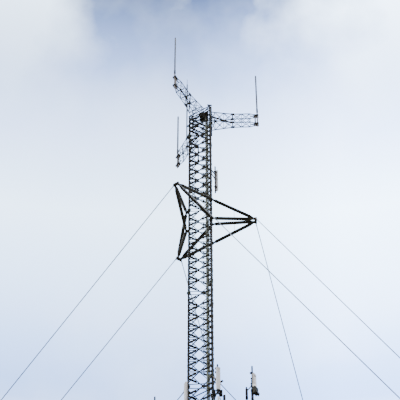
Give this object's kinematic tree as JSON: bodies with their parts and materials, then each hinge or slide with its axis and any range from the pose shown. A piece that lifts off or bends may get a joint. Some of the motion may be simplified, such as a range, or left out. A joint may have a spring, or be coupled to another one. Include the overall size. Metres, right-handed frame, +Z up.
{
  "type": "guyed lattice radio mast",
  "caption": "Tall three-legged lattice mast held by stays to ground anchors, with torsion arms, whip aerials on outrigger arms at the top and panel aerials on sector arms.",
  "frame": {"origin": "centre of the flat underside of the plinth, at ground level", "axes": "+Z up along the mast; -X towards the leg that carries the lightning pole, +X out of the middle of one lattice side"},
  "size_m": [22.389, 25.8526, 39.4],
  "materials": {
    "mast_steel": "weathered matte",
    "arm_steel": "weathered matte",
    "guy_strand": "stranded, dull",
    "cable_sheath": "matte black",
    "whip_shell": "satin grey",
    "panel_shell": "satin grey",
    "radio_shell": "matte, ribbed",
    "concrete": "cast, weathered"
  },
  "bodies": {
    "root": {"anchor_blocks": "concrete", "anchor_stems": "mast_steel", "antenna_mounts": "mast_steel", "base_plate": "mast_steel", "base_section": "mast_steel", "bracing_1_a": "mast_steel", "bracing_1_b": "mast_steel", "bracing_1_c": "mast_steel", "bracing_2_a": "mast_steel", "bracing_2_b": "mast_steel", "bracing_2_c": "mast_steel", "bracing_3_a": "mast_steel", "bracing_3_b": "mast_steel", "bracing_3_c": "mast_steel", "bracing_4_a": "mast_steel", "bracing_4_b": "mast_steel", "bracing_4_c": "mast_steel", "bracing_5_a": "mast_steel", "bracing_5_b": "mast_steel", "bracing_5_c": "mast_steel", "bracing_cap_a": "mast_steel", "bracing_cap_b": "mast_steel", "bracing_cap_c": "mast_steel", "collar": "mast_steel", "feeder_cables": "cable_sheath", "ladder": "mast_steel", "legs_1": "mast_steel", "legs_2": "mast_steel", "legs_3": "mast_steel", "legs_4": "mast_steel", "legs_5": "mast_steel", "legs_cap": "mast_steel", "lightning_pole": "mast_steel", "lower_guys": "guy_strand", "panel_antennas": "panel_shell", "plinth": "concrete", "radio_units": "radio_shell", "sector_arms": "mast_steel", "torsion_arm_a": "arm_steel", "torsion_arm_b": "arm_steel", "torsion_arm_c": "arm_steel", "upper_guys": "guy_strand", "whip_arm_a": "arm_steel", "whip_arm_b": "arm_steel", "whip_arm_c": "arm_steel", "whips": "whip_shell"}
  },
  "joints": []
}
